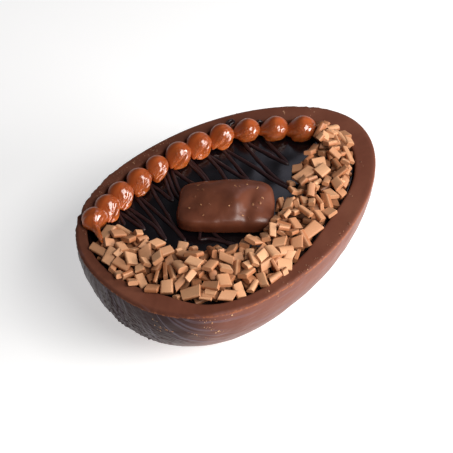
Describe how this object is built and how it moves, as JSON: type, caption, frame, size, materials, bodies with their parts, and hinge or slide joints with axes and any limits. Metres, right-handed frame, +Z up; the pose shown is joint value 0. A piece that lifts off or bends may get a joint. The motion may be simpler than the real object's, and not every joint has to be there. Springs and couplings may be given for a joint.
{
  "type": "chocolate egg",
  "caption": "Filled half egg of milk chocolate with a dark glaze, piped caramel drops along one side, a small moulded bar, thin drizzle and a bank of caramel flakes.",
  "frame": {"origin": "middle of the egg's length and width, on the surface that it rests on", "axes": "+X along the egg towards its pointed end, +Y across it towards the row of caramel drops, +Z up out of the open side"},
  "size_m": [0.155, 0.1062, 0.0608],
  "materials": {
    "milk_chocolate": "satin tempered chocolate with fine scrapes",
    "dark_glaze": "glossy set glaze with thin drizzle of the same",
    "bar_coating": "smooth satin coating",
    "caramel_flakes": "matt, a little grainy",
    "soft_caramel": "wet gloss"
  },
  "bodies": {
    "root": {"shell": "milk_chocolate", "filling": "dark_glaze", "bonbon": "bar_coating", "flakes": "caramel_flakes", "dollop_01": "soft_caramel", "dollop_02": "soft_caramel", "dollop_03": "soft_caramel", "dollop_04": "soft_caramel", "dollop_05": "soft_caramel", "dollop_06": "soft_caramel", "dollop_07": "soft_caramel", "dollop_08": "soft_caramel", "dollop_09": "soft_caramel", "dollop_10": "soft_caramel", "dollop_11": "soft_caramel"}
  },
  "joints": []
}
